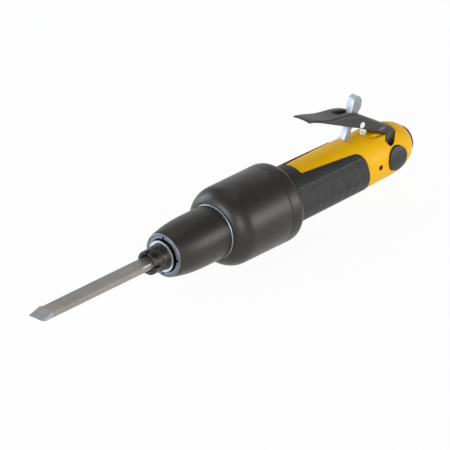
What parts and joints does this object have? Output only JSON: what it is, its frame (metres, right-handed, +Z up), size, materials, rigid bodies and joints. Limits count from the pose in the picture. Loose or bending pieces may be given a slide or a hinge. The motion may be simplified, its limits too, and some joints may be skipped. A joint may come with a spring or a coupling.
{
  "type": "pneumatic scaling hammer",
  "caption": "In-line air scaling hammer with a flat chisel, a floating percussion unit, a rubber-gripped yellow handle and a throttle lever with a safety lock.",
  "frame": {"origin": "mouth of the air inlet on the tool's axis", "axes": "+X out of the air inlet, away from the chisel; +Z up through the throttle lever"},
  "size_m": [0.3724, 0.058, 0.0832],
  "materials": {
    "dark_housing": "satin dark grey coating on steel",
    "dark_ring": "black oxide, machined",
    "black_rubber": "matte black rubber",
    "bronze": "turned bronze",
    "spring_steel": "bright drawn wire",
    "sintered": "porous sintered bronze",
    "turned_steel": "turned and ground steel",
    "yellow_body": "smooth yellow coating",
    "grip_rubber": "dimpled black rubber",
    "valve_brass": "turned brass",
    "dark_screw": "black oxide",
    "black_plastic": "moulded black plastic",
    "lever_coat": "dark grey coated pressing",
    "pad_plastic": "hard grey plastic",
    "zinc": "bright zinc plate",
    "retainer_steel": "black oxide, machined",
    "chisel_steel": "ground tool steel"
  },
  "bodies": {
    "housing": {"nose_sleeve": "dark_housing", "nose_ring": "dark_ring", "nose_wiper": "black_rubber", "nose_bushing": "bronze", "front_spring": "spring_steel", "cylinder_housing": "dark_housing", "silencer_sleeve": "sintered", "rear_guide_ring": "bronze", "spacer_sleeve": "turned_steel", "housing_oring": "black_rubber", "rear_collar": "dark_housing", "rear_spring": "spring_steel", "handle_body": "yellow_body", "rubber_grip": "grip_rubber", "chamber_plug": "turned_steel", "chamber_oring": "black_rubber", "air_tube": "turned_steel", "valve_bushing": "valve_brass", "bushing_oring": "black_rubber", "valve_seat": "valve_brass", "valve_spring": "spring_steel", "valve_plug": "turned_steel", "set_screw": "dark_screw", "lever_pin": "dark_screw", "inlet_bushing": "turned_steel", "inlet_strainer": "sintered", "end_ring": "black_plastic", "side_cover_near": "black_plastic", "side_cover_far": "black_plastic"},
    "lever": {"throttle_lever": "lever_coat", "lever_pad": "pad_plastic", "lock_pin": "zinc", "lock_spring": "spring_steel"},
    "lock": {"safety_lock": "zinc"},
    "valve": {"valve_stem": "zinc", "head_seal": "black_rubber"},
    "unit": {"tool_bushing": "turned_steel", "front_washer": "zinc", "retainer_sleeve": "retainer_steel", "retainer_buffer": "black_rubber", "percussion_cylinder": "turned_steel", "port_plate": "turned_steel", "valve_cage": "turned_steel", "cylinder_cap": "turned_steel", "cap_seal": "black_rubber"},
    "cycle_valve": {"disc_valve": "turned_steel"},
    "striker": {"piston": "turned_steel"},
    "tool": {"chisel": "chisel_steel"}
  },
  "joints": [
    {"name": "lever_press", "type": "hinge", "parent": "housing", "child": "lever", "pos_m": [-0.0229, 0, 0.0093], "axis": [0, 1, 0], "range_deg": [-10, 0], "stiffness_Nm_per_rad": 8, "springref_deg": 11.46},
    {"name": "lock_swing", "type": "hinge", "parent": "lever", "child": "lock", "pos_m": [-0.0523, 0, 0.0326], "axis": [0, 1, 0], "range_deg": [0, 50], "deforming": ["lock_spring"]},
    {"name": "valve_travel", "type": "slide", "parent": "housing", "child": "valve", "axis": [0, 0, 1], "range_m": [-0.0031, 0], "deforming": ["valve_spring"]},
    {"name": "unit_float", "type": "slide", "parent": "housing", "child": "unit", "axis": [1, 0, 0], "range_m": [-0.003, 0.003], "stiffness_N_per_m": 15000, "deforming": ["front_spring", "rear_spring"]},
    {"name": "cycle_shift", "type": "slide", "parent": "unit", "child": "cycle_valve", "axis": [-1, 0, 0], "range_m": [0, 0.0012]},
    {"name": "piston_stroke", "type": "slide", "parent": "unit", "child": "striker", "axis": [1, 0, 0], "range_m": [0, 0.0155]},
    {"name": "chisel_slide", "type": "slide", "parent": "unit", "child": "tool", "axis": [-1, 0, 0], "range_m": [0, 0.006]}
  ],
  "couplings": [
    {"joint": "lock_swing", "follows": "lever_press", "ratio": -5},
    {"joint": "valve_travel", "follows": "lever_press", "m_per_rad": 0.01776}
  ]
}
